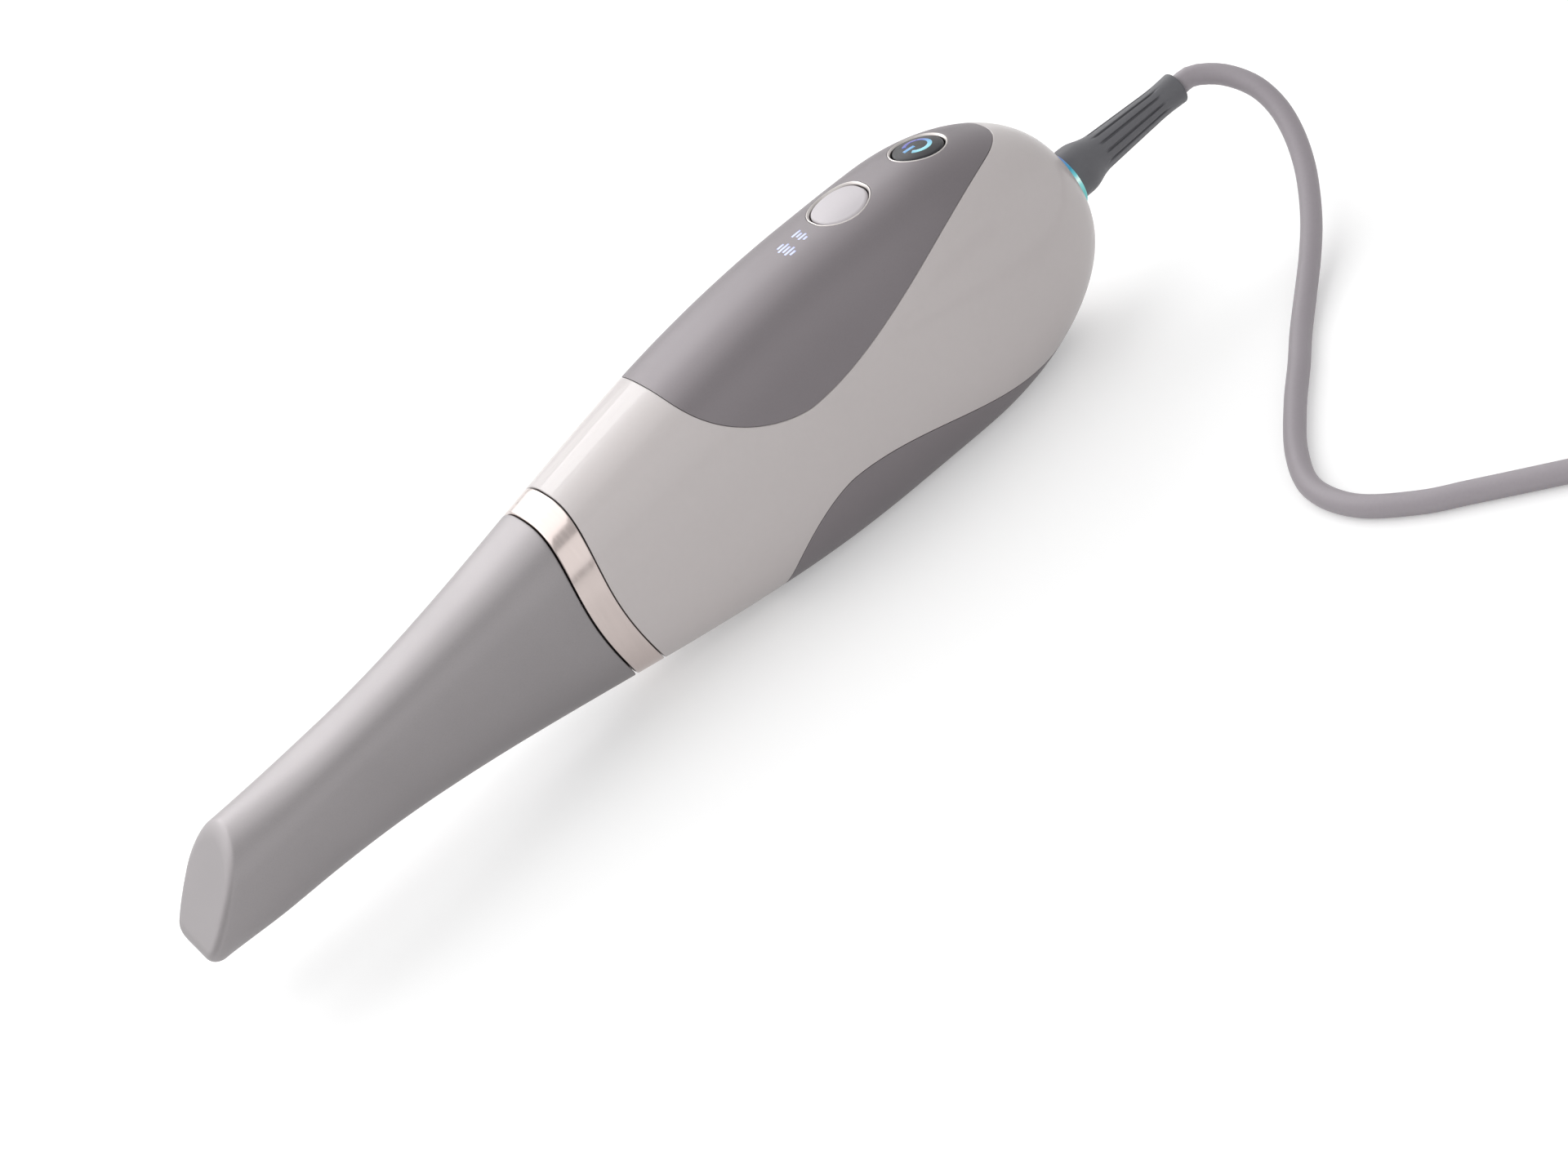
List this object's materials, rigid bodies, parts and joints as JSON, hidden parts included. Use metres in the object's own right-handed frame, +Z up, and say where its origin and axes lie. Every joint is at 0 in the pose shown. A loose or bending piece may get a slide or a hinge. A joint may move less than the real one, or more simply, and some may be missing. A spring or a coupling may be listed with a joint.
{
  "type": "intraoral scanner handpiece",
  "caption": "Cabled intraoral scanner handpiece with a slim mirror tip that pulls off, a steel ring, a bulbous grip with inlaid covers, push buttons and a glowing cable end.",
  "frame": {"origin": "middle of the bounding box of the handpiece without its cord, on the plane of the flat belly", "axes": "+X from the tip to the cable, +Y across the grip, +Z up through the buttons"},
  "size_m": [0.3538, 0.2907, 0.0611],
  "materials": {
    "satin_silver": "satin silver coat",
    "mirror": "front-coated mirror",
    "steel_ring": "fine brushed",
    "dark_plastic": "fine satin",
    "clear_glass": "clear",
    "black_rubber": "matte",
    "black_metal": "black anodised",
    "warm_white": "gloss",
    "mauve_grey": "satin",
    "plain_metal": "machined",
    "dark_metal": "dark anodised",
    "copper_sink": "bare copper",
    "black_plastic": "matte",
    "board_green": "solder mask",
    "cream_plastic": "matte",
    "amber_film": "film",
    "screw_steel": "plain",
    "pearl": "satin pearl",
    "bright_rim": "polished",
    "charcoal": "satin",
    "blue_light": "lit",
    "pale_blue_light": "lit",
    "cyan_light": "lit",
    "grey_rubber": "matte",
    "cord_grey": "satin",
    "grip_grey": "matte",
    "plug_steel": "plain",
    "plug_blue": "plain"
  },
  "bodies": {
    "handpiece": {"collar_ring": "steel_ring", "nose": "dark_plastic", "nose_window": "clear_glass", "window_seal": "black_rubber", "objective_barrel": "black_metal", "objective_lenses": "clear_glass", "housing": "warm_white", "top_cover": "mauve_grey", "bottom_cover": "mauve_grey", "optical_bench": "plain_metal", "prism_mount": "black_metal", "beam_splitter": "clear_glass", "projector_lens": "black_metal", "projector_case": "dark_metal", "light_source": "plain_metal", "heat_sink": "copper_sink", "camera_lens": "black_metal", "camera_sensor": "black_plastic", "camera_board": "board_green", "main_board": "board_green", "link_board": "board_green", "link_connector": "cream_plastic", "board_ribbon": "amber_film", "flange_screws": "screw_steel", "chassis_screws": "screw_steel", "board_screws": "screw_steel", "scan_bezel": "bright_rim", "scan_switch": "black_plastic", "scan_board": "board_green", "power_bezel": "bright_rim", "power_switch": "black_plastic", "power_board": "board_green", "indicator_lights": "pale_blue_light", "light_ring": "cyan_light", "light_ring_board": "board_green", "gland_nut": "plain_metal", "strain_relief": "grey_rubber", "cable_lead": "cord_grey", "cord": "cord_grey", "cord_coil": "cord_grey", "cord_tail": "cord_grey", "cord_tie": "black_plastic", "plug_grip": "grip_grey", "plug_shell": "plug_steel", "plug_tongue": "plug_blue"},
    "tip": {"tip_shell": "satin_silver", "tip_mirror": "mirror"},
    "scan_button": {"scan_button": "pearl", "scan_plunger": "black_plastic"},
    "power_button": {"power_button": "charcoal", "power_symbol": "blue_light", "power_plunger": "black_plastic"}
  },
  "joints": [
    {"name": "tip_slide", "type": "slide", "parent": "handpiece", "child": "tip", "axis": [-1, 0, 0], "range_m": [0, 0.06]},
    {"name": "scan_button_press", "type": "slide", "parent": "handpiece", "child": "scan_button", "axis": [0, 0, -1], "range_m": [0, 0.0007], "stiffness_N_per_m": 1200, "springref_m": -0.0005},
    {"name": "power_button_press", "type": "slide", "parent": "handpiece", "child": "power_button", "axis": [-0.2073, 0, -0.9783], "range_m": [0, 0.0007], "stiffness_N_per_m": 1200, "springref_m": -0.0005}
  ]
}
